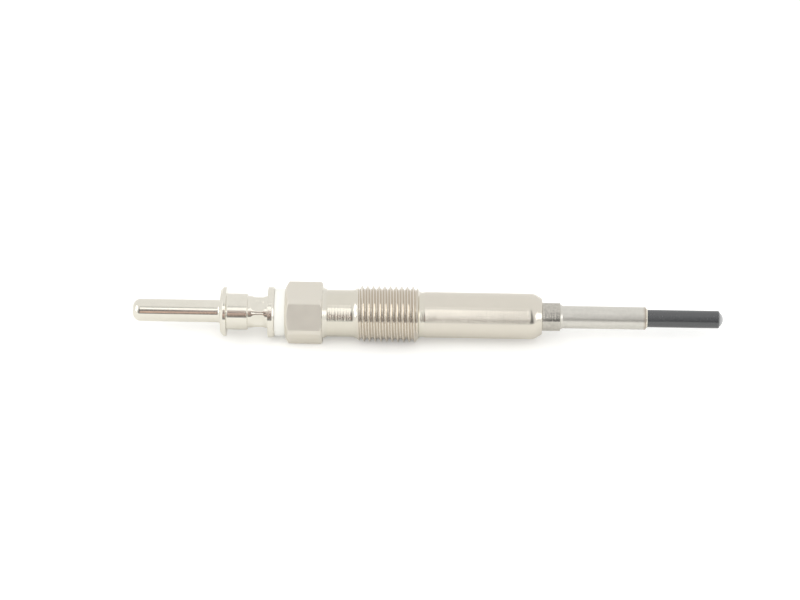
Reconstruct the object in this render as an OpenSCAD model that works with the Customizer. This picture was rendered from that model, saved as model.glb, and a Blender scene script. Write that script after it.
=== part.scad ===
// Ceramic-tipped glow plug with a pin terminal.
// The axis lies along X, with the heating tip towards +X and the terminal pin towards -X.
// The origin is on the axis, at the rim where the conical seat starts.
// The plug lies on one flat of its hexagon, so +Z is square to that flat.

/* [Terminal] */
// Diameter of the terminal pin
pin_d = 4.0; // [3:0.1:5]
// Straight length of the pin, from its tip to the root fillet
pin_len = 15.05; // [8:0.05:20]
// Radius of the rounded pin tip
pin_tip_round = 1.4; // [0.4:0.1:1.8]
// Radius of the root fillet between the pin and the guard flange
guard_fillet = 0.6; // [0.2:0.05:1]
// Diameter of the guard flange behind the pin
guard_d = 8.8; // [7:0.1:10]
// Width of the guard flange
guard_w = 1.05; // [0.6:0.05:1.6]
// Chamfer on the pin side of the guard flange
guard_chamfer = 0.5; // [0.1:0.05:0.6]
// Diameter of the round barrel behind the guard flange
barrel_d = 6.45; // [6:0.05:7.2]
// Length of the round barrel
barrel_len = 3.75; // [2:0.05:6]
// Diameter of the neck that the crimp is pressed into
neck_d = 5.7; // [5.5:0.05:6]
// Length of the crimped neck
crimp_len = 3.6; // [2.4:0.05:5]
// Plain length of the neck at each end of the crimp
crimp_land = 0.35; // [0.1:0.05:0.5]
// Axial length of the ramp at each end of the crimp
crimp_ramp = 0.65; // [0.2:0.05:0.7]
// Depth that the jaws of the crimp press their six flats into the neck
crimp_depth = 0.22; // [0.1:0.01:0.4]
// Turn of the crimp about the axis
crimp_turn = 24.5; // [0:0.5:60]
// Diameter of the stop flange that bears on the insulating bush
stop_d = 9.05; // [7.5:0.05:10]
// Width of the stop flange
stop_w = 1.15; // [0.8:0.05:2]
// Chamfer on the bush side of the stop flange
stop_chamfer = 0.35; // [0.1:0.05:0.5]
// Depth of the socket in the terminal that takes the centre rod
socket_depth = 7.4; // [5:0.1:8.2]
// Full angle of the drill point at the end of the socket
drill_point = 118; // [90:1:140]

/* [Insulating bush and seal] */
// Diameter of the bush flange
bush_d = 8.3; // [7.4:0.1:9.5]
// Width of the bush flange
bush_w = 1.9; // [1:0.05:3]
// Diameter of the bush spigot in the shell
spigot_d = 6.9; // [6:0.1:7.6]
// Length of the bush spigot
spigot_len = 2.5; // [1.5:0.1:4]
// Axial room behind the sealing ring
seal_room = 0.15; // [0.05:0.05:0.5]

/* [Shell] */
// Size of the hexagon across its flats
hex_af = 10.0; // [9.4:0.1:10.6]
// Length of the hexagon
hex_len = 6.6; // [4.5:0.1:9]
// Diameter that the hexagon's corners are turned to
hex_corner_d = 11.05; // [10.7:0.05:11.4]
// Diameter of the round face at the back of the hexagon
hex_face_d = 8.9; // [8:0.1:9.4]
// Angle of the chamfer at the back of the hexagon, from its end face
hex_chamfer_angle = 30; // [15:1:45]
// Corner break at the front of the hexagon
hex_break = 0.3; // [0.1:0.05:0.6]
// Radial height of the cone between the hexagon and the shank
root_cone_h = 0.42; // [0.1:0.02:0.6]
// Axial length of that cone
root_cone_len = 0.85; // [0.4:0.05:1.5]
// Diameter of the plain shank in front of the hexagon
shank_d = 8.3; // [7.6:0.1:9]
// Length of the plain shank
shank_len = 4.95; // [3:0.05:8]
// Outside diameter of the thread
thread_d = 10.0; // [9:0.1:11]
// Length of thread at full diameter
thread_len = 9.95; // [6:0.05:20]
// Axial length of the run-out cone at the back of the thread
thread_run_out = 0.85; // [0.4:0.05:2.5]
// Angle of the chamfer at the front of the thread, from the axis
thread_chamfer_angle = 60; // [30:1:70]
// Depth of the relief groove below the trunk
relief_depth = 0.1; // [0.05:0.01:0.3]
// Width of the relief groove
relief_w = 0.75; // [0.2:0.05:1.5]
// Diameter of the trunk between the thread and the seat
trunk_d = 8.1; // [7.2:0.1:8.8]
// Length of the trunk
trunk_len = 19.3; // [10:0.1:40]
// Full angle of the conical seat
seat_angle = 63; // [50:1:120]
// Wall of the shell at its nose
nose_wall = 0.86; // [0.4:0.01:1.1]
// Rounding of the nose edge
nose_round = 0.15; // [0.05:0.05:0.3]
// Air gap all round the electrode ring and the centre rod
bore_gap = 0.54; // [0.3:0.02:0.8]
// Full angle of the inner steps of the shell
step_angle = 120; // [90:5:150]

/* [Centre rod and electrode ring] */
// Diameter of the centre rod
rod_d = 4.0; // [3.4:0.1:4.4]
// Diameter of the reduced end of the centre rod
rod_end_d = 2.6; // [1.8:0.1:3]
// Length of the reduced end of the centre rod
rod_end_len = 2.6; // [1.5:0.1:5]
// Wall of the electrode ring over the ceramic rod
ring_wall = 0.65; // [0.4:0.05:0.9]
// Web between the two sockets of the electrode ring
ring_web = 0.6; // [0.3:0.1:1.5]
// Air gap between the electrode ring and the heater sleeve
ring_gap = 2.2; // [1.2:0.1:3]

/* [Heater sleeve] */
// Wall of the sleeve tube over the ceramic rod
sleeve_wall = 0.43; // [0.3:0.01:0.6]
// Length of the sleeve tube in front of the collar
tube_len = 14.75; // [8:0.05:25]
// Radial step from the tube up to the collar
collar_step = 0.5; // [0.2:0.05:0.8]
// Length of the collar
collar_len = 3.2; // [1.5:0.1:6]
// Radius of the fillet between the collar and the tube
collar_fillet = 0.35; // [0.1:0.05:0.4]
// Radial step from the collar down to the part pressed into the shell
press_step = 0.2; // [0.1:0.05:0.3]
// Length of the part pressed into the shell
press_len = 6.0; // [4:0.1:9]
// Rounding of the sleeve's front edge
sleeve_round = 0.12; // [0.04:0.02:0.3]
// Width of the braze fillet along the axis
braze_w = 0.32; // [0.2:0.02:0.6]
// Height of the braze fillet on the end of the sleeve
braze_h = 0.2; // [0.1:0.02:0.26]

/* [Ceramic heater] */
// Diameter of the ceramic rod
ceramic_d = 3.1; // [2.8:0.05:3.5]
// Length of ceramic in front of the sleeve
ceramic_reach = 13.65; // [9:0.05:20]
// Length of ceramic behind the sleeve
ceramic_tail = 5.4; // [4.4:0.1:8]
// Rounding of the edge at the tip
tip_round = 0.32; // [0.1:0.02:0.5]
// Height of the shallow dome on the tip
tip_dome = 0.62; // [0.2:0.02:0.9]
// Thickness of the heating loop
loop_d = 0.6; // [0.4:0.05:0.8]
// Length of the straight legs of the heating loop
loop_len = 7; // [4:0.5:8]
// Ceramic left outside the loop's legs
loop_cover = 0.45; // [0.3:0.05:0.6]
// Ceramic left in front of the heating loop
loop_tip_cover = 1.1; // [0.9:0.1:2]
// Thickness of the two leads
lead_d = 0.5; // [0.3:0.05:0.55]
// Distance of the earth contact from the back of the sleeve
earth_inset = 4; // [2:0.5:5]

/* [Fits] */
// Radial clearance between pieces that fit in one another
fit_gap = 0.02; // [0.01:0.005:0.03]
// Small break on turned and moulded edges
edge_break = 0.15; // [0.05:0.05:0.2]

/* [Hidden] */
$fn = 96;
arc_steps = 8;

// Radii that follow from the driving sizes
crimp_r = neck_d / 2 - crimp_depth;
counterbore_r = spigot_d / 2 + fit_gap;
seal_d = counterbore_r - rod_d / 2 - 2 * fit_gap;
ceramic_r = ceramic_d / 2;
ceramic_bore_r = ceramic_r + fit_gap;
ring_r = ceramic_bore_r + ring_wall;
shell_bore_r = max(ring_r, rod_d / 2) + bore_gap;
tube_r = ceramic_bore_r + sleeve_wall;
collar_r = tube_r + collar_step;
press_r = collar_r - press_step;
nose_bore_r = press_r + fit_gap;
nose_r = nose_bore_r + nose_wall;
relief_r = trunk_d / 2 - relief_depth;
thread_front_len = (thread_d / 2 - relief_r) / tan(thread_chamfer_angle);
seat_len = (trunk_d / 2 - nose_r) / tan(seat_angle / 2);
dome_base_r = ceramic_r - tip_round;
dome_r = (dome_base_r * dome_base_r + tip_dome * tip_dome) / (2 * tip_dome);
leg_offset = ceramic_r - loop_cover - loop_d / 2;

// Stations along the axis, from the seat back to the pin tip
trunk_x = -trunk_len;
relief_x = trunk_x - relief_depth - relief_w;
thread_front_x = relief_x - thread_front_len;
thread_back_x = thread_front_x - thread_len;
shank_front_x = thread_back_x - thread_run_out;
shank_back_x = shank_front_x - shank_len;
hex_front_x = shank_back_x - root_cone_len;
hex_back_x = hex_front_x - hex_len;
bush_x = hex_back_x - bush_w;
stop_x = bush_x - stop_w;
crimp_x = stop_x - crimp_len;
guard_front_x = crimp_x - barrel_len;
guard_back_x = guard_front_x - guard_w;
pin_root_x = guard_back_x - guard_fillet;
pin_tip_x = pin_root_x - pin_len;
seal_x = hex_back_x + spigot_len;
seal_step_x = seal_x + seal_d + seal_room;

// Stations along the axis, from the seat forward to the heating tip
nose_x = seat_len;
collar_front_x = nose_x + collar_len;
tube_x = collar_front_x + collar_fillet;
sleeve_front_x = tube_x + tube_len;
tip_x = sleeve_front_x + ceramic_reach;
sleeve_back_x = nose_x - press_len;
ceramic_back_x = sleeve_back_x - ceramic_tail;
ring_front_x = sleeve_back_x - ring_gap;
ring_back_x = ceramic_back_x - ring_web - rod_end_len;
bend_x = tip_x - loop_tip_cover - leg_offset - loop_d / 2;
leg_back_x = bend_x - loop_len;
live_x = (ceramic_back_x + ring_front_x) / 2;
earth_x = sleeve_back_x + earth_inset;

// Points of an arc in the half plane of [x, radius], about a centre
function arc(centre, radius, start, end) = [
    for (i = [0:arc_steps])
        let (a = start + (end - start) * i / arc_steps)
        centre + radius * [cos(a), sin(a)]
];

// Solid turned about the X axis from an outline of [x, radius] points
module turned(outline) {
    rotate([0, 90, 0])
        rotate_extrude()
            polygon([for (p = outline) [p[1], p[0]]]);
}

// Round bar along X between two stations
module bar(x1, x2, radius) {
    translate([x1, 0, 0])
        rotate([0, 90, 0])
            cylinder(h = x2 - x1, r = radius);
}

// One jaw mark of the crimp, a flat with a ramp at each end
module crimp_jaw() {
    neck_r = neck_d / 2;
    mark_x1 = crimp_x + crimp_land;
    mark_x2 = stop_x - crimp_land;
    rotate([90, 0, 0])
        linear_extrude(height = neck_d, center = true)
            polygon([
                [mark_x1, neck_r + edge_break],
                [mark_x1, neck_r],
                [mark_x1 + crimp_ramp, crimp_r],
                [mark_x2 - crimp_ramp, crimp_r],
                [mark_x2, neck_r],
                [mark_x2, neck_r + edge_break]
            ]);
}

// Pin, guard flange, barrel, crimped neck and stop flange, turned in one piece
module pin_terminal() {
    pin_r = pin_d / 2;
    guard_r = guard_d / 2;
    stop_r = stop_d / 2;
    socket_r = rod_d / 2 + fit_gap;
    socket_x = bush_x - socket_depth;
    color("#d9d4c4")
        difference() {
            turned(concat(
                [[pin_tip_x, 0]],
                arc([pin_tip_x + pin_tip_round, pin_r - pin_tip_round], pin_tip_round, 180, 90),
                arc([pin_root_x, pin_r + guard_fillet], guard_fillet, -90, 0),
                [
                    [guard_back_x, guard_r - guard_chamfer],
                    [guard_back_x + guard_chamfer, guard_r],
                    [guard_front_x, guard_r],
                    [guard_front_x, barrel_d / 2],
                    [crimp_x, barrel_d / 2],
                    [crimp_x, neck_d / 2],
                    [stop_x, neck_d / 2],
                    [stop_x, stop_r],
                    [bush_x - stop_chamfer, stop_r],
                    [bush_x, stop_r - stop_chamfer],
                    [bush_x, 0]
                ]
            ));
            for (side = [0:5])
                rotate([crimp_turn + side * 60, 0, 0])
                    crimp_jaw();
            turned([
                [socket_x - socket_r / tan(drill_point / 2), 0],
                [socket_x, socket_r],
                [bush_x + edge_break, socket_r],
                [bush_x + edge_break, 0]
            ]);
        }
}

// Flanged bush that keeps the terminal and the rod apart from the shell
module insulating_bush() {
    color("#f4f4ee")
        difference() {
            turned([
                [bush_x, 0],
                [bush_x, bush_d / 2 - edge_break],
                [bush_x + edge_break, bush_d / 2],
                [hex_back_x - edge_break, bush_d / 2],
                [hex_back_x, bush_d / 2 - edge_break],
                [hex_back_x, spigot_d / 2],
                [seal_x - edge_break, spigot_d / 2],
                [seal_x, spigot_d / 2 - edge_break],
                [seal_x, 0]
            ]);
            bar(bush_x - edge_break, seal_x + edge_break, rod_d / 2 + fit_gap);
        }
}

// Rubber ring between the rod and the counterbore, in front of the bush
module sealing_ring() {
    color("#2b2b2b")
        translate([seal_x + seal_d / 2, 0, 0])
            rotate([0, 90, 0])
                rotate_extrude()
                    translate([rod_d / 2 + fit_gap + seal_d / 2, 0])
                        circle(d = seal_d);
}

// Hexagon with a turned chamfer at the back and broken corners at the front
module hexagon() {
    face_r = hex_face_d / 2;
    corner_r = hex_corner_d / 2;
    intersection() {
        translate([hex_back_x, 0, 0])
            rotate([30, 0, 0])
                rotate([0, 90, 0])
                    cylinder(h = hex_len, r = hex_af / 2 / cos(30), $fn = 6);
        turned([
            [hex_back_x, 0],
            [hex_back_x, face_r],
            [hex_back_x + (corner_r - face_r) * tan(hex_chamfer_angle), corner_r],
            [hex_front_x - hex_break, corner_r],
            [hex_front_x, corner_r - hex_break],
            [hex_front_x, 0]
        ]);
    }
}

// Hexagon, shank, thread, trunk and seat in one piece, bored through
module metal_shell() {
    shank_r = shank_d / 2;
    thread_r = thread_d / 2;
    trunk_r = trunk_d / 2;
    seal_step = (counterbore_r - shell_bore_r) / tan(step_angle / 2);
    front_step = (shell_bore_r - nose_bore_r) / tan(step_angle / 2);
    color("#cfc9ba")
        difference() {
            union() {
                hexagon();
                turned([
                    [hex_back_x + hex_len / 2, 0],
                    [hex_back_x + hex_len / 2, shank_r + root_cone_h],
                    [hex_front_x, shank_r + root_cone_h],
                    [shank_back_x, shank_r],
                    [shank_front_x, shank_r],
                    [thread_back_x, thread_r],
                    [thread_front_x, thread_r],
                    [relief_x, relief_r],
                    [relief_x + relief_w, relief_r],
                    [trunk_x, trunk_r],
                    [0, trunk_r],
                    [nose_x - nose_round, nose_r + nose_round * tan(seat_angle / 2)],
                    [nose_x, nose_r - nose_round],
                    [nose_x, 0]
                ]);
            }
            turned([
                [hex_back_x - edge_break, 0],
                [hex_back_x - edge_break, counterbore_r],
                [seal_step_x, counterbore_r],
                [seal_step_x + seal_step, shell_bore_r],
                [sleeve_back_x - front_step, shell_bore_r],
                [sleeve_back_x, nose_bore_r],
                [nose_x + edge_break, nose_bore_r],
                [nose_x + edge_break, 0]
            ]);
        }
}

// Rod that carries the current from the terminal to the electrode ring
module centre_rod() {
    rod_r = rod_d / 2;
    rod_back_x = bush_x - socket_depth;
    rod_front_x = ceramic_back_x - ring_web;
    color("#b9b4a8")
        turned([
            [rod_back_x, 0],
            [rod_back_x, rod_r - edge_break],
            [rod_back_x + edge_break, rod_r],
            [ring_back_x - edge_break, rod_r],
            [ring_back_x, rod_r - edge_break],
            [ring_back_x, rod_end_d / 2],
            [rod_front_x - edge_break, rod_end_d / 2],
            [rod_front_x, rod_end_d / 2 - edge_break],
            [rod_front_x, 0]
        ]);
}

// Double socket that joins the rod to the live contact of the ceramic rod
module electrode_ring() {
    color("#c4bfb2")
        difference() {
            turned([
                [ring_back_x, 0],
                [ring_back_x, ring_r - edge_break],
                [ring_back_x + edge_break, ring_r],
                [ring_front_x - edge_break, ring_r],
                [ring_front_x, ring_r - edge_break],
                [ring_front_x, 0]
            ]);
            bar(ring_back_x - edge_break, ceramic_back_x - ring_web, rod_end_d / 2 + fit_gap);
            bar(ceramic_back_x, ring_front_x + edge_break, ceramic_bore_r);
        }
}

// Stepped tube that holds the ceramic rod and closes the nose of the shell
module heater_sleeve() {
    color("#bfbab0")
        difference() {
            turned(concat(
                [
                    [sleeve_back_x, 0],
                    [sleeve_back_x, press_r - edge_break],
                    [sleeve_back_x + edge_break, press_r],
                    [nose_x, press_r],
                    [nose_x, collar_r - edge_break],
                    [nose_x + edge_break, collar_r],
                    [collar_front_x, collar_r]
                ],
                arc([tube_x, tube_r + collar_fillet], collar_fillet, 180, 270),
                arc([sleeve_front_x - sleeve_round, tube_r - sleeve_round], sleeve_round, 90, 0),
                [[sleeve_front_x, 0]]
            ));
            bar(sleeve_back_x - edge_break, sleeve_front_x + edge_break, ceramic_bore_r);
        }
}

// Bright fillet of braze between the sleeve's end and the ceramic rod
module braze_fillet() {
    color("#e8e4da")
        turned([
            [sleeve_front_x, ceramic_bore_r],
            [sleeve_front_x, ceramic_bore_r + braze_h],
            [sleeve_front_x + braze_w / 2, ceramic_bore_r + braze_h],
            [sleeve_front_x + braze_w, ceramic_bore_r + fit_gap],
            [sleeve_front_x + braze_w, ceramic_bore_r]
        ]);
}

// Heating loop: two legs and a bend, with a margin all round
module loop_form(margin) {
    radius = loop_d / 2 + margin;
    for (side = [-1, 1])
        translate([0, side * leg_offset, 0])
            bar(leg_back_x - margin, bend_x, radius);
    translate([bend_x, 0, 0])
        rotate([0, 0, -90])
            rotate_extrude(angle = 180)
                translate([leg_offset, 0])
                    circle(r = radius);
}

// Lead on one side of the rod, with its contact turned out to the surface
module lead_form(side, contact_x, reach_r, margin) {
    radius = lead_d / 2 + margin;
    translate([0, side * leg_offset, 0])
        bar(contact_x - radius, leg_back_x, radius);
    translate([contact_x, 0, 0])
        rotate([-side * 90, 0, 0])
            translate([0, 0, leg_offset])
                cylinder(h = reach_r - leg_offset, r = radius);
}

// Insulating ceramic rod with a domed tip, moulded round the loop and the leads
module ceramic_rod() {
    outside_r = ceramic_r + edge_break;
    shoulder_x = tip_x - tip_dome;
    dome_sweep = asin(dome_base_r / dome_r);
    color("#5b5d60")
        difference() {
            turned(concat(
                [
                    [ceramic_back_x, 0],
                    [ceramic_back_x, ceramic_r - edge_break],
                    [ceramic_back_x + edge_break, ceramic_r]
                ],
                arc([shoulder_x - tip_round, dome_base_r], tip_round, 90, 0),
                [for (p = arc([tip_x - dome_r, 0], dome_r, dome_sweep, 0)) if (p[0] > shoulder_x) p]
            ));
            loop_form(fit_gap);
            lead_form(-1, live_x, outside_r, fit_gap);
            lead_form(1, earth_x, outside_r, fit_gap);
        }
}

// Conductive loop that glows in the tip
module heating_loop() {
    color("#8a7a66")
        loop_form(0);
}

// Lead from the loop to the electrode ring, flush with the rod
module live_lead() {
    color("#a08f78")
        intersection() {
            lead_form(-1, live_x, ceramic_d, 0);
            bar(ceramic_back_x, tip_x, ceramic_r);
        }
}

// Lead from the loop to the sleeve, flush with the rod
module earth_lead() {
    color("#a08f78")
        intersection() {
            lead_form(1, earth_x, ceramic_d, 0);
            bar(ceramic_back_x, tip_x, ceramic_r);
        }
}

pin_terminal();
insulating_bush();
sealing_ring();
metal_shell();
centre_rod();
electrode_ring();
heater_sleeve();
braze_fillet();
ceramic_rod();
heating_loop();
live_lead();
earth_lead();
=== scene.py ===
"""Looks of a ceramic-tipped glow plug that lies on a white studio table."""

import math

import bmesh
import bpy
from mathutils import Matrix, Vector


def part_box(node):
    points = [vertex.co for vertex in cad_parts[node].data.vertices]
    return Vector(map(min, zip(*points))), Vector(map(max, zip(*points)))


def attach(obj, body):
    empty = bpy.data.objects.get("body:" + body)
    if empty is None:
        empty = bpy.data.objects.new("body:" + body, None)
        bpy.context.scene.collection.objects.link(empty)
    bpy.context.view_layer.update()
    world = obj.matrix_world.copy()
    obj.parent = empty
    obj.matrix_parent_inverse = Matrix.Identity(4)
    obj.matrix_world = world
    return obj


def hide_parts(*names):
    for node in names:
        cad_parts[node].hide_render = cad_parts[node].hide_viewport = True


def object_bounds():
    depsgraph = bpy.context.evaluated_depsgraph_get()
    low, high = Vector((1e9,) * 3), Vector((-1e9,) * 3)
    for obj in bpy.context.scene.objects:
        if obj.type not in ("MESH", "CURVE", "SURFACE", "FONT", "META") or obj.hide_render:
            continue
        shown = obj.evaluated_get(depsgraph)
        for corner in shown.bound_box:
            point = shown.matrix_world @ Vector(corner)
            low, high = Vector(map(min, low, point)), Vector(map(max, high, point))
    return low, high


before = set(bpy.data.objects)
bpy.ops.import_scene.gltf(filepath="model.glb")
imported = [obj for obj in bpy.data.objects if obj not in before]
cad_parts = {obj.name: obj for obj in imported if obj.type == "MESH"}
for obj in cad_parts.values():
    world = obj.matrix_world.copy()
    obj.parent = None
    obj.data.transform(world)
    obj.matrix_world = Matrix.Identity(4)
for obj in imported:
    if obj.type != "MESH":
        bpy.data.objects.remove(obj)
cad_low, cad_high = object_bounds()
scene = bpy.context.scene

MM = 0.001


def ends(name):
    """Stations of a node's back and front along the axis, in millimetres."""
    low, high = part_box(name)
    return low.x / MM, high.x / MM


# Stations along the axis, in millimetres, from the frame
pin_tip, bush_back = ends("pin_terminal")
hex_back, nose = ends("metal_shell")
seal_back = ends("insulating_bush")[1]
sleeve_back, sleeve_front = ends("heater_sleeve")
braze_front = ends("braze_fillet")[1]
ceramic_back, ceramic_tip = ends("ceramic_rod")
table_height = cad_low.z

# Sizes of the terminal, in millimetres and degrees
pin_r = 2.0
pin_tip_round = 1.4
guard_r = 4.4
guard_w = 1.05
guard_chamfer = 0.5
guard_fillet = 0.6
barrel_r = 3.225
barrel_len = 3.75
barrel_fillet = 0.24
neck_r = 2.85
crimp_len = 3.6
crimp_land = 0.35
crimp_ramp_back = 1.2
crimp_ramp_front = 0.65
crimp_depth = 0.22
crimp_hollow = 0.08
crimp_groove = 0.045
crimp_groove_half = 4.0
crimp_flat_angle = 65.5
stop_r = 4.525
stop_w = 1.15
stop_chamfer = 0.2
stop_chamfer_len = 0.35
socket_depth = 7.4
drill_half_angle = 59

# Sizes of the bush and of the shell, in millimetres and degrees
rod_bore_r = 2.02
bush_r = 4.15
spigot_r = 3.45
counterbore_r = 3.47
seal_room_end = 4.08
hex_flat_angle = 30
hex_flat_r = 5.0
hex_corner_r = 5.525
hex_face_r = 4.45
hex_len = 6.6
hex_chamfer_angle = 30
hex_break = 0.3
root_cone_h = 0.42
root_cone_len = 0.85
shank_r = 4.15
shank_len = 4.95
thread_r = 5.0
thread_pitch = 1.0
thread_depth = 0.6134
thread_crest = 0.125
thread_half_angle = 30
thread_phase = 0.29
thread_run_out = 0.85
run_out_round = 2.0
thread_len = 9.95
thread_chamfer_angle = 60
thread_end_r = 4.25
relief_r = 3.95
relief_w = 0.75
relief_round = 0.55
relief_rise_len = 0.4
trunk_r = 4.05
shell_bore_r = 2.76
nose_r = 3.18
rim_round = 0.65
nose_bore_r = 2.32
bore_step = 0.4

# Sizes of the heater, in millimetres
press_r = 2.3
collar_r = 2.5
collar_len = 3.2
collar_cone_h = 0.28
collar_cone_len = 0.46
tube_r = 2.0
ceramic_bore_r = 1.57
ceramic_r = 1.55
braze_h = 0.2
braze_lip = 0.04
tip_round = 0.32
tip_dome = 0.62

# Roundings of turned and moulded edges, in millimetres
sharp_edge = 0.06
soft_edge = 0.12
flat_edge = 0.03
thread_edge = 0.06
# Distance from a rounding to the points that keep the face beside it flat, in millimetres
support = 0.03
# Points closer than this are welded, in millimetres
weld_gap = 0.0001

# Steps of a rounded corner, of the crimp's length and of a turn
CORNER_STEPS = 6
CRIMP_STEPS = 40
TURN_STEPS = 180
# Turns of the thread past each end, which are cut off there
SPARE_TURNS = 2
# The most of a side's length that the rounding of its corner may take
CORNER_SHARE = 0.4
# Shares of half a pitch at which the thread has points, closer together at its crest and its root
THREAD_SHARES = (0, 0.1, 0.14, 0.2, 0.3, 0.45, 0.6, 0.72, 0.8, 0.86, 0.93)

# Stations along the shell that the outlines and the finishes share, in millimetres
hex_front = hex_back + hex_len
shank_back = hex_front + root_cone_len
shank_front = shank_back + shank_len
thread_back = shank_front + thread_run_out
thread_front = thread_back + thread_len
relief_back = thread_front + (thread_r - relief_r) / math.tan(math.radians(thread_chamfer_angle))
trunk_back = relief_back + relief_w + trunk_r - relief_r
collar_front = nose + collar_len


def arc(centre_x, centre_r, radius, start, end, steps=12):
    """Points of an arc in the plane of station and radius, with angles in degrees."""
    turns = [math.radians(start + (end - start) * i / steps) for i in range(steps + 1)]
    return [(centre_x + radius * math.cos(a), centre_r + radius * math.sin(a)) for a in turns]


def softened(outline):
    """Rounds each corner given as (station, radius, rounding) and keeps the other points."""
    done = []
    for i, corner in enumerate(outline):
        if len(corner) == 2:
            done.append(corner)
            continue
        here = Vector(corner[:2])
        back = Vector(outline[i - 1][:2]) - here
        ahead = Vector(outline[(i + 1) % len(outline)][:2]) - here
        reach = min(corner[2], CORNER_SHARE * back.length, CORNER_SHARE * ahead.length)
        back.normalize()
        ahead.normalize()
        start, end = here + back * reach, here + ahead * reach
        done.append(tuple(start + back * min(support, reach)))
        for step in range(CORNER_STEPS + 1):
            t = step / CORNER_STEPS
            point = start * (1 - t) ** 2 + here * 2 * t * (1 - t) + end * t**2
            done.append(tuple(point))
        done.append(tuple(end + ahead * min(support, reach)))
    return done


def soft_min(a, b, blend):
    """The smaller of two lengths, with the change between them rounded off."""
    return (a + b - math.sqrt((a - b) ** 2 + blend**2)) / 2


def soft_max(a, b, blend):
    """The larger of two lengths, with the change between them rounded off."""
    return (a + b + math.sqrt((a - b) ** 2 + blend**2)) / 2


def lathe(name, column, angles, replaced, material):
    """Closed solid whose outline at each angle about the axis is column(angle).

    Angle 0 faces -Y and 90 faces +Z. The first and last angles are one turn apart. A turned piece
    has the same outline at each angle.
    """
    columns = [column(angle) for angle in angles]
    rows = len(columns[0])
    points = []
    for angle, outline in zip(angles, columns):
        a = math.radians(angle)
        for x, r in outline:
            points.append((x * MM, -r * MM * math.cos(a), r * MM * math.sin(a)))
    faces = []
    for j in range(len(angles) - 1):
        for i in range(rows):
            k = (i + 1) % rows
            faces.append((j * rows + i, j * rows + k, (j + 1) * rows + k, (j + 1) * rows + i))
    mesh = bpy.data.meshes.new(name)
    mesh.from_pydata(points, [], faces)
    work = bmesh.new()
    work.from_mesh(mesh)
    bmesh.ops.remove_doubles(work, verts=work.verts, dist=weld_gap * MM)
    bmesh.ops.recalc_face_normals(work, faces=work.faces)
    for face in work.faces:
        face.smooth = True
    work.to_mesh(mesh)
    work.free()
    piece = bpy.data.objects.new(name, mesh)
    scene.collection.objects.link(piece)
    mesh.materials.append(material)
    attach(piece, "root")
    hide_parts(replaced)


# Angles of the columns: even steps, or closer together beside the edges of six flats
round_angles = [360 * i / TURN_STEPS for i in range(TURN_STEPS + 1)]
SIDE_ANGLE = 60
FLAT_STEP = 3
BESIDE_EDGE = (-2, -1, -0.5, 0, 0.5, 1, 1.8, 2.6, 3.3, 4, 4.8, 5.6, 6.4)


def six_flat_angles(flat_angle, flat_r, corner_r):
    """Angles over one turn, closer together where six flats meet the round corners."""
    edge = math.degrees(math.acos(flat_r / corner_r))
    half = list(range(0, SIDE_ANGLE // 2 + 1, FLAT_STEP))
    half += [min(edge + step, SIDE_ANGLE // 2) for step in BESIDE_EDGE]
    around = sorted({-a for a in half} | set(half))[:-1]
    turn = [flat_angle + SIDE_ANGLE * side + a for side in range(360 // SIDE_ANGLE) for a in around]
    return turn + [turn[0] + 360]


def from_flat(angle, flat_angle):
    """Angle from the middle of the nearest of six flats, in radians."""
    return math.radians((angle - flat_angle + SIDE_ANGLE / 2) % SIDE_ANGLE - SIDE_ANGLE / 2)


def hex_to_linear(code):
    """sRGB hex colour as linear RGBA."""
    channels = [int(code[i : i + 2], 16) / 255 for i in (1, 3, 5)]
    return [c / 12.92 if c <= 0.04045 else ((c + 0.055) / 1.055) ** 2.4 for c in channels] + [1]


def add(tree, kind, inputs=None, **settings):
    """Adds a node with its settings, and sets or links its inputs."""
    made = tree.nodes.new("ShaderNode" + kind)
    for name, value in settings.items():
        setattr(made, name, value)
    for name, value in (inputs or {}).items():
        if isinstance(value, bpy.types.NodeSocket):
            tree.links.new(value, made.inputs[name])
        else:
            made.inputs[name].default_value = value
    return made


def empty_tree(owner):
    """Node tree of a material or a world, without its first nodes."""
    owner.use_nodes = True
    owner.node_tree.nodes.clear()
    return owner.node_tree


def fill_ramp(ramp, stops):
    """Gives a colour ramp its stops: a place from 0 to 1, and a hex colour or a value."""
    steps = ramp.color_ramp.elements
    while len(steps) < len(stops):
        steps.new(0.5)
    for step, (place, value) in zip(steps, stops):
        step.position = place
        step.color = hex_to_linear(value) if isinstance(value, str) else (value, value, value, 1)


def new_material(name):
    """Material with an empty tree, its shader and the object's own coordinates."""
    material = bpy.data.materials.new(name)
    tree = empty_tree(material)
    shader = add(tree, "BsdfPrincipled")
    add(tree, "OutputMaterial", {"Surface": shader.outputs["BSDF"]})
    place = add(tree, "TexCoord").outputs["Object"]
    return material, tree, shader, place


def link_finish(tree, shader, colour, rough, bump):
    """Links a finish to its shader."""
    tree.links.new(colour, shader.inputs["Base Color"])
    tree.links.new(rough, shader.inputs["Roughness"])
    tree.links.new(bump, shader.inputs["Normal"])


def per_mm(size_mm):
    """Texture scale at which one feature is that many millimetres wide."""
    return 1 / (size_mm * MM)


def station_ramp(tree, along, stops):
    """Value or colour that changes with the station along the axis, from (station, value) stops."""
    first, last = stops[0][0], stops[-1][0]
    share = add(
        tree, "MapRange", {"Value": along, "From Min": first * MM, "From Max": last * MM}
    ).outputs["Result"]
    ramp = add(tree, "ValToRGB", {"Fac": share})
    fill_ramp(ramp, [((station - first) / (last - first), value) for station, value in stops])
    return ramp.outputs["Color"]


def finish_ramps(tree, along, finish):
    """One ramp along the axis for each column of a finish that follows its stations."""
    stations, *columns = zip(*finish)
    return [station_ramp(tree, along, list(zip(stations, column))) for column in columns]


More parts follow.
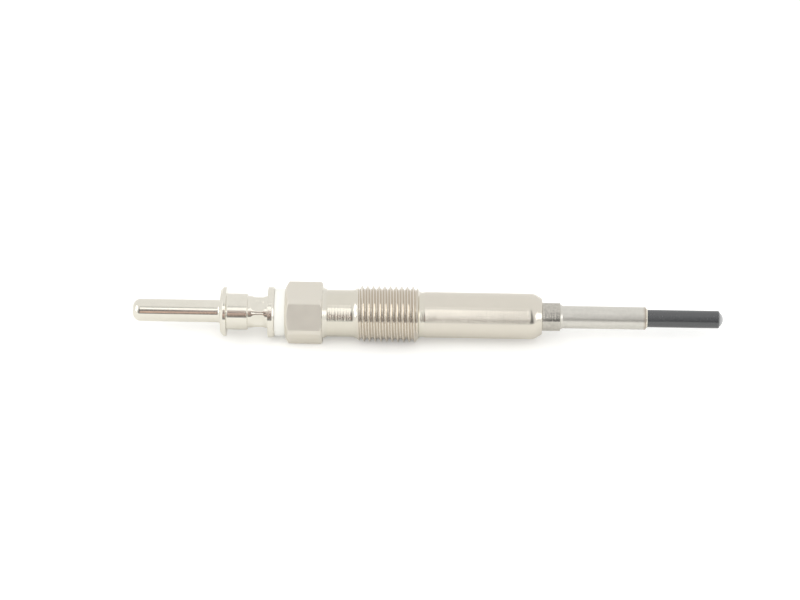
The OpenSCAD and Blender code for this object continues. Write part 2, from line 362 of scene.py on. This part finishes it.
def bright_nickel():
    """Bright nickel plate on turned steel.

    The plating mirrors the room, and the tool's rings spread its reflections along the axis.
    """
    material, tree, shader, place = new_material("bright_nickel_plate_on_turned_steel")
    along = add(tree, "SeparateXYZ", {"Vector": place}).outputs["X"]
    cloud = add(tree, "TexNoise", {"Vector": place, "Scale": per_mm(1.5), "Detail": 4}).outputs["Fac"]
    # Real rings are about 0.05 mm apart, and coarser ones still show at this picture size
    rings = add(
        tree, "TexNoise", {"W": along, "Scale": per_mm(0.16), "Detail": 2}, noise_dimensions="1D"
    ).outputs["Fac"]
    colour = add(
        tree, "Mix", {0: cloud, 6: hex_to_linear("#E6E2D7"), 7: hex_to_linear("#DEDACE")},
        data_type="RGBA",
    ).outputs[2]
    rough = add(
        tree, "MapRange",
        {"Value": cloud, "From Min": 0.3, "From Max": 0.7, "To Min": 0.07, "To Max": 0.13},
    ).outputs["Result"]
    bump = add(tree, "Bump", {"Height": rings, "Strength": 1, "Distance": 0.004 * MM}).outputs["Normal"]
    link_finish(tree, shader, colour, rough, bump)
    shader.inputs["Metallic"].default_value = 1
    return material


# Lengths over which the finishes change, in millimetres
finish_change = 0.1
shank_fade = 0.8
rim_rings = 1.0
rim_fade = 0.2
heat_band = 0.5
heat_edge = 0.12
# Where the dome's painted highlight starts behind its shoulder, and where it is full ahead of it
tip_highlight_back = 0.15
tip_highlight_front = 0.05

# Finish of the shell by station: roughness, how deep the lathe's rings are, and colour
SHELL_FINISH = [
    # Painted light: the hexagon is a shade lighter than the rest of the plating, and the root cone is in
    # between
    (hex_back, 0.5, 0.05, "#E4DFD4"),
    (hex_front - finish_change, 0.5, 0.05, "#E4DFD4"),
    (hex_front, 0.16, 0.3, "#E0DCD1"),
    (shank_back, 0.16, 0.4, "#DCD7CA"),
    (shank_front - shank_fade, 0.16, 0.4, "#DCD7CA"),
    (shank_front, 0.16, 0.3, "#DCD7CA"),
    (thread_back, 0.08, 0.03, "#DDD6CB"),
    (thread_front, 0.08, 0.03, "#DDD6CB"),
    (relief_back, 0.14, 0.3, "#DCD7CA"),
    (trunk_back - finish_change, 0.14, 0.3, "#DCD7CA"),
    (trunk_back, 0.2, 0.25, "#DCD6CA"),
    (-rim_rings - rim_fade, 0.2, 0.25, "#DCD6CA"),
    (-rim_rings, 0.18, 0.6, "#DCD6CA"),
    (nose, 0.12, 0.3, "#DCD6CA"),
]


def satin_nickel():
    """Nickel plate on turned and cold-drawn steel.

    The hexagon and the trunk are satin, the shank keeps its rings, and the seat is smooth.
    """
    material, tree, shader, place = new_material("nickel_plate_on_turned_steel")
    along = add(tree, "SeparateXYZ", {"Vector": place}).outputs["X"]
    cloud = add(tree, "TexNoise", {"Vector": place, "Scale": per_mm(1.2), "Detail": 5}).outputs["Fac"]
    grain = add(tree, "TexNoise", {"Vector": place, "Scale": per_mm(0.2), "Detail": 3}).outputs["Fac"]
    # Real rings are about 0.08 mm apart, and coarser ones still show at this picture size
    rings = add(
        tree, "TexNoise", {"W": along, "Scale": per_mm(0.3), "Detail": 3}, noise_dimensions="1D"
    ).outputs["Fac"]
    base_rough, depth, plating = finish_ramps(tree, along, SHELL_FINISH)
    uneven = add(
        tree, "MapRange",
        {"Value": cloud, "From Min": 0.3, "From Max": 0.7, "To Min": 0.9, "To Max": 1.1},
    ).outputs["Result"]
    rough = add(tree, "Math", {0: base_rough, 1: uneven}, operation="MULTIPLY").outputs[0]
    shade = add(tree, "MapRange", {"Value": cloud, "To Min": 0.94, "To Max": 1.0}).outputs["Result"]
    colour = add(
        tree, "Mix", {0: 1.0, 6: plating, 7: shade}, data_type="RGBA", blend_type="MULTIPLY"
    ).outputs[2]
    turned = add(tree, "Math", {0: rings, 1: depth}, operation="MULTIPLY").outputs[0]
    grain_depth = 0.035
    height = add(
        tree, "Math", {0: grain, 1: grain_depth, 2: turned}, operation="MULTIPLY_ADD"
    ).outputs[0]
    bump = add(tree, "Bump", {"Height": height, "Strength": 1, "Distance": 0.02 * MM}).outputs["Normal"]
    link_finish(tree, shader, colour, rough, bump)
    shader.inputs["Metallic"].default_value = 1
    return material


# Finish of the sleeve by station: roughness, how mottled it is, and colour
SLEEVE_FINISH = [
    (sleeve_back, 0.1, 1.0, "#C9C5BC"),
    (collar_front, 0.1, 1.0, "#C9C5BC"),
    (collar_front + finish_change, 0.28, 0.3, "#D9D6CE"),
    (sleeve_front - heat_band, 0.28, 0.3, "#D9D6CE"),
    (sleeve_front - heat_edge, 0.3, 1.0, "#C6BCAF"),
    (sleeve_front, 0.3, 1.0, "#B3A798"),
]


def ground_steel():
    """Ground stainless steel.

    The tube is evenly soft, with faint lines along it. The collar is darker, smoother and mottled, and
    the heat of the brazing has left a brown edge at the tube's end.
    """
    material, tree, shader, place = new_material("ground_stainless_steel")
    along = add(tree, "SeparateXYZ", {"Vector": place}).outputs["X"]
    cloud = add(tree, "TexNoise", {"Vector": place, "Scale": per_mm(0.6), "Detail": 4}).outputs["Fac"]
    # Lines of the drawn tube, about 0.4 mm wide and 6 mm long
    drawn = add(tree, "Mapping", {"Vector": place, "Scale": (0.07, 1, 1)}).outputs["Vector"]
    lines = add(tree, "TexNoise", {"Vector": drawn, "Scale": per_mm(0.4), "Detail": 2}).outputs["Fac"]
    # Real grinding marks are finer, and coarser ones still show at this picture size
    rings = add(
        tree, "TexNoise", {"W": along, "Scale": per_mm(0.25), "Detail": 3}, noise_dimensions="1D"
    ).outputs["Fac"]
    rough, mottled, steel = finish_ramps(tree, along, SLEEVE_FINISH)
    streak = add(
        tree, "MapRange",
        {"Value": lines, "From Min": 0.3, "From Max": 0.7, "To Min": 0.93, "To Max": 1.0},
    ).outputs["Result"]
    blotch = add(
        tree, "MapRange",
        {"Value": cloud, "From Min": 0.35, "From Max": 0.65, "To Min": 0.0, "To Max": -0.16},
    ).outputs["Result"]
    blotch = add(tree, "Math", {0: blotch, 1: mottled, 2: 1.0}, operation="MULTIPLY_ADD").outputs[0]
    shade = add(tree, "Math", {0: streak, 1: blotch}, operation="MULTIPLY").outputs[0]
    colour = add(
        tree, "Mix", {0: 1.0, 6: steel, 7: shade}, data_type="RGBA", blend_type="MULTIPLY"
    ).outputs[2]
    height = add(tree, "Math", {0: rings, 1: mottled}, operation="MULTIPLY").outputs[0]
    bump = add(tree, "Bump", {"Height": height, "Strength": 1, "Distance": 0.0015 * MM}).outputs["Normal"]
    link_finish(tree, shader, colour, rough, bump)
    shader.inputs["Metallic"].default_value = 1
    return material


def silver_braze():
    """Solidified silver braze: a bright bead, lumpy where it has wetted the ceramic."""
    material, tree, shader, place = new_material("solidified_silver_braze")
    lumps = add(tree, "TexNoise", {"Vector": place, "Scale": per_mm(0.4), "Detail": 3}).outputs["Fac"]
    colour = add(
        tree, "Mix", {0: lumps, 6: hex_to_linear("#F2EEE4"), 7: hex_to_linear("#DDD6C6")},
        data_type="RGBA",
    ).outputs[2]
    rough = add(tree, "MapRange", {"Value": lumps, "To Min": 0.14, "To Max": 0.3}).outputs["Result"]
    bump = add(tree, "Bump", {"Height": lumps, "Strength": 1, "Distance": 0.03 * MM}).outputs["Normal"]
    link_finish(tree, shader, colour, rough, bump)
    shader.inputs["Metallic"].default_value = 1
    return material


def nitride_ceramic():
    """Ground dark grey nitride ceramic.

    The rod is dense and glossy, with a faint grain from the wheel. The dome is painted pale grey, a
    painted highlight.
    """
    material, tree, shader, place = new_material("ground_nitride_ceramic")
    along = add(tree, "SeparateXYZ", {"Vector": place}).outputs["X"]
    grain = add(tree, "TexNoise", {"Vector": place, "Scale": per_mm(0.3), "Detail": 4}).outputs["Fac"]
    # Real grinding marks are finer, and coarser ones still show at this picture size
    rings = add(
        tree, "TexNoise", {"W": along, "Scale": per_mm(0.25), "Detail": 2}, noise_dimensions="1D"
    ).outputs["Fac"]
    shoulder = ceramic_tip - tip_dome
    # Painted highlight: the dome's pale grey stands in for the light it catches from the side
    pale_tip_highlight = station_ramp(
        tree, along,
        [
            (ceramic_back, "#2C2E30"),
            (shoulder - tip_highlight_back, "#2C2E30"),
            (shoulder + tip_highlight_front, "#A2A3A4"),
            (ceramic_tip, "#BBBCBD"),
        ],
    )
    shade = add(tree, "MapRange", {"Value": grain, "To Min": 0.92, "To Max": 1.0}).outputs["Result"]
    colour = add(
        tree, "Mix", {0: 1.0, 6: pale_tip_highlight, 7: shade}, data_type="RGBA", blend_type="MULTIPLY"
    ).outputs[2]
    rough = add(tree, "MapRange", {"Value": grain, "To Min": 0.24, "To Max": 0.29}).outputs["Result"]
    bump = add(tree, "Bump", {"Height": rings, "Strength": 1, "Distance": 0.003 * MM}).outputs["Normal"]
    link_finish(tree, shader, colour, rough, bump)
    shader.inputs["IOR"].default_value = 1.98
    return material


def plain_material(name, light, dark, size_mm, roughness, metallic=0):
    """Even material with a soft change between two shades and in its roughness."""
    material, tree, shader, place = new_material(name)
    cloud = add(tree, "TexNoise", {"Vector": place, "Scale": per_mm(size_mm), "Detail": 4}).outputs["Fac"]
    colour = add(
        tree, "Mix", {0: cloud, 6: hex_to_linear(light), 7: hex_to_linear(dark)}, data_type="RGBA"
    ).outputs[2]
    rough = add(
        tree, "MapRange", {"Value": cloud, "To Min": roughness * 0.8, "To Max": roughness * 1.2}
    ).outputs["Result"]
    bump = add(tree, "Bump", {"Height": cloud, "Strength": 1, "Distance": 0.004 * MM}).outputs["Normal"]
    link_finish(tree, shader, colour, rough, bump)
    shader.inputs["Metallic"].default_value = metallic
    return material


# Moulded plastic: chalky white with a soft sheen
white_plastic = plain_material("moulded_white_plastic", "#F9F9F3", "#F3F3ED", 1.0, 0.45)
# Moulded rubber: black and dull
black_rubber = plain_material("moulded_black_rubber", "#2B2B2B", "#222222", 0.5, 0.7)
# Drawn steel: grey, with a soft shine
drawn_steel = plain_material("drawn_steel", "#C6C1B6", "#B4AFA3", 0.6, 0.35, 1)
# Turned stainless steel: grey and fairly bright
turned_steel = plain_material("turned_stainless_steel", "#CBC8BF", "#BDB9AE", 0.6, 0.3, 1)
# Sintered conductive ceramic: dull brown grey
sintered_ceramic = plain_material("sintered_conductive_ceramic", "#8E7F6C", "#7A6C5A", 0.2, 0.6)


def terminal_column(angle):
    """Outline of the terminal: pin, guard flange, barrel, crimped neck, stop flange and socket."""
    stop_back = bush_back - stop_w
    crimp_back = stop_back - crimp_len
    guard_front = crimp_back - barrel_len
    guard_back = guard_front - guard_w
    pin_root = guard_back - guard_fillet
    socket_back = bush_back - socket_depth
    lean = from_flat(angle, crimp_flat_angle)
    flat_half = math.acos((neck_r - crimp_depth) / neck_r)
    hollow = crimp_hollow * (1 - (math.tan(lean) / math.tan(flat_half)) ** 2)
    off_ridge = min(1, (SIDE_ANGLE / 2 - abs(math.degrees(lean))) / crimp_groove_half)
    groove = crimp_groove * (1 + math.cos(math.pi * off_ridge)) / 2
    crimp = []
    for step in range(1, CRIMP_STEPS):
        x = crimp_back + crimp_len * step / CRIMP_STEPS
        from_back = (x - crimp_back - crimp_land) / crimp_ramp_back
        from_front = (stop_back - crimp_land - x) / crimp_ramp_front
        inside = min(1, max(0, min(from_back, from_front)))
        pressed = (1 - math.cos(math.pi * inside)) / 2
        flat_r = neck_r - pressed * (crimp_depth + hollow)
        crimp.append((x, soft_min(flat_r / math.cos(lean), neck_r, flat_edge) - pressed * groove))
    return softened(
        [(pin_tip, 0)]
        + arc(pin_tip + pin_tip_round, pin_r - pin_tip_round, pin_tip_round, 180, 90)
        + [(pin_tip + pin_tip_round + support, pin_r), (pin_root - support, pin_r)]
        + arc(pin_root, pin_r + guard_fillet, guard_fillet, -90, 0)
        + [
            (guard_back, guard_r - guard_chamfer, sharp_edge),
            (guard_back + guard_chamfer, guard_r, sharp_edge),
            (guard_front, guard_r, sharp_edge),
            (guard_front, barrel_r, barrel_fillet),
            (crimp_back, barrel_r, soft_edge),
            (crimp_back, neck_r),
        ]
        + crimp
        + [
            (stop_back, neck_r),
            (stop_back, stop_r, sharp_edge),
            (bush_back - stop_chamfer_len, stop_r, sharp_edge),
            (bush_back, stop_r - stop_chamfer, sharp_edge),
            (bush_back, rod_bore_r, sharp_edge),
            (socket_back, rod_bore_r),
            (socket_back - rod_bore_r / math.tan(math.radians(drill_half_angle)), 0),
        ]
    )


def bush_column(angle):
    """Outline of the bush: flange, spigot and bore."""
    return softened(
        [
            (bush_back, rod_bore_r, sharp_edge),
            (bush_back, bush_r, soft_edge),
            (hex_back, bush_r, soft_edge),
            (hex_back, spigot_r, sharp_edge),
            (seal_back, spigot_r, soft_edge),
            (seal_back, rod_bore_r, sharp_edge),
        ]
    )


def thread_points(angle, start, end, limit):
    """Helical thread between two stations, kept below limit(station)."""
    flank = math.tan(math.radians(thread_half_angle))
    half = thread_pitch / 2
    steps = [share * half for share in THREAD_SHARES] + [half]
    steps += [thread_pitch - share * half for share in THREAD_SHARES[:0:-1]]
    turns = math.ceil((end - start) / thread_pitch) + SPARE_TURNS
    points = []
    for turn in range(-SPARE_TURNS, turns):
        for step in steps:
            x = start + (turn - angle / 360) * thread_pitch + thread_phase + step
            x = min(max(x, start), end)
            off = min(step, thread_pitch - step) - thread_crest / 2
            drop = soft_min(soft_max(off / flank, 0, thread_edge), thread_depth, thread_edge)
            points.append((x, min(thread_r - drop, limit(x))))
    return points


def shell_column(angle):
    """Outline of the shell: hexagon, shank, thread, trunk and seat, then back through the bore."""
    lean = math.cos(from_flat(angle, hex_flat_angle))
    hex_r = soft_min(hex_flat_r / lean, hex_corner_r, flat_edge)
    chamfer = (hex_r - hex_face_r) * math.tan(math.radians(hex_chamfer_angle))
    edge = max(sharp_edge, hex_r - hex_corner_r + hex_break)
    thread_slope = math.tan(math.radians(thread_chamfer_angle))
    thread_end = thread_front + (thread_r - thread_end_r) / thread_slope
    relief_reach = relief_round * math.tan(math.radians(thread_chamfer_angle / 2))
    run_out_slope = math.atan2(thread_r - shank_r, thread_run_out)
    run_out_back = shank_front - run_out_round * math.tan(run_out_slope / 2)

    def limit(x):
        if x < run_out_back + run_out_round * math.sin(run_out_slope):
            return shank_r + run_out_round - math.sqrt(run_out_round**2 - (x - run_out_back) ** 2)
        if x < thread_back:
            return shank_r + (x - shank_front) * math.tan(run_out_slope)
        return min(thread_r, thread_r - (x - thread_front) * thread_slope)

    return softened(
        [
            (hex_back, counterbore_r, sharp_edge),
            (hex_back, hex_face_r, sharp_edge),
            (hex_back + chamfer, hex_r, soft_edge),
            (hex_front - edge, hex_r, sharp_edge),
            (hex_front, hex_r - edge, sharp_edge),
            (hex_front, shank_r + root_cone_h, sharp_edge),
            (shank_back, shank_r, sharp_edge),
            (run_out_back - support, shank_r),
        ]
        + thread_points(angle, run_out_back, thread_end, limit)
        + arc(
            relief_back + relief_reach, relief_r + relief_round, relief_round,
            270 - thread_chamfer_angle, 270,
        )
        + [
            (trunk_back - relief_rise_len, relief_r, soft_edge),
            (trunk_back, trunk_r, soft_edge),
            (0, trunk_r, rim_round),
            (nose, nose_r, soft_edge),
            (nose, nose_bore_r, sharp_edge),
            (sleeve_back, nose_bore_r),
            (sleeve_back - bore_step, shell_bore_r),
            (hex_back + seal_room_end + bore_step, shell_bore_r),
            (hex_back + seal_room_end, counterbore_r),
        ]
    )


def sleeve_column(angle):
    """Outline of the sleeve: pressed part, collar, short cone, tube and bore."""
    return softened(
        [
            (sleeve_back, ceramic_bore_r, sharp_edge),
            (sleeve_back, press_r, soft_edge),
            (nose, press_r),
            (nose, collar_r, soft_edge),
            (collar_front, collar_r, soft_edge),
            (collar_front, tube_r + collar_cone_h, sharp_edge),
            (collar_front + collar_cone_len, tube_r, sharp_edge),
            (sleeve_front, tube_r, soft_edge),
            (sleeve_front, ceramic_bore_r, sharp_edge),
        ]
    )


def braze_column(angle):
    """Outline of the braze fillet, a small ring with a rounded face."""
    middle = (sleeve_front + braze_front) / 2
    return softened(
        [
            (sleeve_front, ceramic_bore_r),
            (sleeve_front, ceramic_bore_r + braze_h),
            (middle, ceramic_bore_r + braze_h, soft_edge),
            (braze_front, ceramic_bore_r + braze_lip, soft_edge),
            (braze_front, ceramic_bore_r),
        ]
    )


def ceramic_column(angle):
    """Outline of the ceramic rod with its rounded edge and shallow dome."""
    base_r = ceramic_r - tip_round
    dome_r = (base_r**2 + tip_dome**2) / (2 * tip_dome)
    sweep = math.degrees(math.asin(base_r / dome_r))
    shoulder = ceramic_tip - tip_dome
    return softened(
        [(ceramic_back, 0), (ceramic_back, ceramic_r, soft_edge)]
        + [(shoulder - tip_round - support, ceramic_r)]
        + arc(shoulder - tip_round, base_r, tip_round, 90, 0)
        + arc(ceramic_tip - dome_r, 0, dome_r, sweep, 0)[1:]
    )


crimp_angles = six_flat_angles(crimp_flat_angle, neck_r - crimp_depth, neck_r)
hex_angles = six_flat_angles(hex_flat_angle, hex_flat_r, hex_corner_r)
lathe("terminal", terminal_column, crimp_angles, "pin_terminal", bright_nickel())
lathe("bush", bush_column, round_angles, "insulating_bush", white_plastic)
lathe("shell", shell_column, hex_angles, "metal_shell", satin_nickel())
lathe("sleeve", sleeve_column, round_angles, "heater_sleeve", ground_steel())
lathe("braze", braze_column, round_angles, "braze_fillet", silver_braze())
lathe("ceramic", ceramic_column, round_angles, "ceramic_rod", nitride_ceramic())

# Hidden pieces keep their CAD solids
hidden_materials = {
    "sealing_ring": black_rubber,
    "centre_rod": drawn_steel,
    "electrode_ring": turned_steel,
    "heating_loop": sintered_ceramic,
    "live_lead": sintered_ceramic,
    "earth_lead": sintered_ceramic,
}
for name, material in hidden_materials.items():
    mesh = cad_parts[name].data
    mesh.materials.clear()
    mesh.materials.append(material)

# Room in front of the open tent: elevation in degrees, and the light from there
FRONT_LIGHT = [
    (0, "#C8C8C8"),
    (2, "#ACACAC"),
    (4, "#9A9A9A"),
    (8, "#787878"),
    (20, "#6E6E6E"),
    (30, "#7A7A7A"),
    (42, "#929292"),
    (47, "#9E9E9E"),
    (54, "#AEAEAE"),
    (66, "#C4C4C4"),
    (73, "#E2E2E2"),
    (81, "#F6F6F6"),
    (90, "#FFFFFF"),
]
# Azimuths in degrees, to either side, between which the room gives way to the tent
FRONT_HALF_WIDTH = (20, 38)


def studio_world():
    """White tent all round, open in front, where the room is darker than the tent."""
    world = bpy.data.worlds.new("studio")
    scene.world = world
    tree = empty_tree(world)
    way = add(tree, "SeparateXYZ", {"Vector": add(tree, "TexCoord").outputs["Generated"]}).outputs
    height = add(tree, "Math", {0: way["Z"]}, operation="ARCSINE").outputs[0]
    share = add(tree, "MapRange", {"Value": height, "From Max": math.pi / 2}).outputs["Result"]
    ramp = add(tree, "ValToRGB", {"Fac": share})
    fill_ramp(ramp, [(degrees / 90, code) for degrees, code in FRONT_LIGHT])
    ahead = add(tree, "Math", {0: way["Y"], 1: -1}, operation="MULTIPLY").outputs[0]
    turn = add(tree, "Math", {0: way["X"], 1: ahead}, operation="ARCTAN2").outputs[0]
    turn = add(tree, "Math", {0: turn}, operation="ABSOLUTE").outputs[0]
    front = add(
        tree, "MapRange",
        {
            "Value": turn, "From Min": math.radians(FRONT_HALF_WIDTH[0]),
            "From Max": math.radians(FRONT_HALF_WIDTH[1]), "To Min": 1, "To Max": 0,
        },
        interpolation_type="SMOOTHSTEP",
    ).outputs["Result"]
    seen = add(tree, "LightPath").outputs["Is Camera Ray"]
    hidden = add(tree, "Math", {0: 1, 1: seen}, operation="SUBTRACT").outputs[0]
    share = add(tree, "Math", {0: front, 1: hidden}, operation="MULTIPLY").outputs[0]
    colour = add(
        tree, "Mix", {0: share, 6: (1, 1, 1, 1), 7: ramp.outputs["Color"]}, data_type="RGBA"
    ).outputs[2]
    light = add(tree, "Background", {"Color": colour, "Strength": 1})
    add(tree, "OutputWorld", {"Surface": light.outputs["Background"]})


# Glow that takes the lit table to pure white, for the camera and for what mirrors the table
TABLE_LIFT = 0.23
MIRRORED_LIFT = 0.04
# Half the table's width, in metres
TABLE_HALF = 0.8


def studio_table():
    """Board painted matt white, which goes off to pure white and keeps the plug's soft shadow."""
    material = bpy.data.materials.new("matt_painted_white_board")
    tree = empty_tree(material)
    ray = add(tree, "LightPath").outputs
    mirrored = add(
        tree, "Math", {0: ray["Is Glossy Ray"], 1: ray["Is Transmission Ray"]}, operation="MAXIMUM"
    ).outputs[0]
    mirrored = add(tree, "Math", {0: mirrored, 1: MIRRORED_LIFT}, operation="MULTIPLY").outputs[0]
    glow = add(
        tree, "Math", {0: ray["Is Camera Ray"], 1: TABLE_LIFT, 2: mirrored}, operation="MULTIPLY_ADD"
    ).outputs[0]
    paint = add(tree, "BsdfDiffuse", {"Color": hex_to_linear("#F6F6F4")})
    lift = add(tree, "Emission", {"Color": (1, 1, 1, 1), "Strength": glow})
    both = add(tree, "AddShader", {0: paint.outputs[0], 1: lift.outputs[0]})
    add(tree, "OutputMaterial", {"Surface": both.outputs[0]})
    mesh = bpy.data.meshes.new("table")
    corners = [(-1, -1), (1, -1), (1, 1), (-1, 1)]
    points = [(x * TABLE_HALF, y * TABLE_HALF, table_height) for x, y in corners]
    mesh.from_pydata(points, [], [(0, 1, 2, 3)])
    mesh.materials.append(material)
    table = bpy.data.objects.new("table", mesh)
    scene.collection.objects.link(table)


# Camera: the plug's place in the 800 by 600 frame of the photograph
FRAME_WIDTH = 800
PIXELS_PER_MM = 5.65
PIN_TIP_PIXEL = 132.4
AXIS_DROP_PIXELS = 14.2
FOCAL_PIXELS = 3600
CAMERA_ELEVATION = 40
CAMERA_AZIMUTH = 1.53


def direction(azimuth, elevation):
    """Unit vector away from the plug, from angles in degrees; azimuth 0 is -Y, the camera's side."""
    a, e = math.radians(azimuth), math.radians(elevation)
    return Vector((math.sin(a) * math.cos(e), -math.cos(a) * math.cos(e), math.sin(e)))


def aimed(name, data, place, way):
    """Camera or lamp at a place, looking against a direction."""
    made = bpy.data.objects.new(name, data)
    made.location = place
    made.rotation_mode = "QUATERNION"
    made.rotation_quaternion = (-way).to_track_quat("-Z", "Y")
    scene.collection.objects.link(made)
    return made


def place_camera():
    """Long lens, with the plug's axis a little below the middle of the picture."""
    back = direction(CAMERA_AZIMUTH, CAMERA_ELEVATION)
    up = back.cross(direction(CAMERA_AZIMUTH + 90, 0))
    middle_x = pin_tip + (FRAME_WIDTH / 2 - PIN_TIP_PIXEL) / PIXELS_PER_MM
    target = Vector((middle_x * MM, 0, 0)) + up * (AXIS_DROP_PIXELS / PIXELS_PER_MM * MM)
    distance = FOCAL_PIXELS / PIXELS_PER_MM * MM
    data = bpy.data.cameras.new("camera")
    data.sensor_width = 36
    data.lens = data.sensor_width * FOCAL_PIXELS / FRAME_WIDTH
    data.clip_start = 0.01
    scene.camera = aimed("camera", data, target + back * distance, back)


def soft_box(name, azimuth, elevation, distance, width, height, radiance, shift=0, colour="#FFFFFF"):
    """Rectangular lamp that faces the plug, in degrees and metres, shifted along X."""
    way = direction(azimuth, elevation)
    data = bpy.data.lights.new(name, "AREA")
    data.shape = "RECTANGLE"
    data.size = width
    data.size_y = height
    # This renderer gives a lamp a quarter of its watts as radiance times area
    data.energy = 4 * radiance * width * height
    data.color = hex_to_linear(colour)[:3]
    return aimed(name, data, way * distance + Vector((shift, 0, 0)), way)


# Panel over the lens, which gives the streaks along the pin, the shank and the trunk
PANEL_DISTANCE = 0.65
# Lower and upper elevation in degrees, left and right ends in millimetres, radiance, colour
PANEL_ROWS = {
    "upper_row": (66, 80, -84, 10, 0.36, "#FFFFFF"),
    "shank_top_row": (46, 66, -84, -56, 0.52, "#FFFFFF"),
    "top_row": (46, 66, -56, 10, 1.155, "#FFFFFF"),
    "shank_row": (35, 46, -68, -56, 0.75, "#FFFFFF"),
    "middle_row": (33, 46, -56, 11, 1.25, "#FFFFFF"),
    "trunk_row": (22, 33, -33, 7, 1.85, "#FFFFFF"),
    "bottom_row": (2, 22, -32, -1, 1.6, "#FFFFFF"),
    "right_row": (18, 44, 26, 140, 0.16, "#FFFFFF"),
    "left_row": (46, 64, -180, -84, 0.785, "#FFFFFF"),
    "warm_row": (20, 47, -103, -80, 0.48, "#FFDAD0"),
    "warm_low_row": (9, 28, -180, -103, 0.5, "#FFD4C0"),
}
for name, (low, high, left, right, radiance, colour) in PANEL_ROWS.items():
    width = (right - left) * MM
    height = 2 * PANEL_DISTANCE * math.tan(math.radians(high - low) / 2)
    middle = (left + right) / 2 * MM
    soft_box(name, 0, (low + high) / 2, PANEL_DISTANCE, width, height, radiance, middle, colour)

# Side boxes for the edges, the root cone, the thread's flanks and the seat, and a flash over the lens
# Azimuth and elevation in degrees, distance, width and height in metres, radiance
BOXES = {
    "right_box": (66, 20, 0.8, 0.38, 0.34, 0.75),
    "left_box": (-75, 34, 0.8, 0.45, 0.32, 1.3),
    "low_left_box": (-66, 16, 0.8, 0.3, 0.17, 1.6),
    "flash": (0, 57, PANEL_DISTANCE, 0.36, 0.3, 1.6),
}
lamps = {name: soft_box(name, *setting) for name, setting in BOXES.items()}
# The flash throws the shadow back, and its own mirror image is kept off the metal
lamps["flash"].visible_glossy = False

scene.view_settings.view_transform = "Standard"
studio_world()
studio_table()
place_camera()
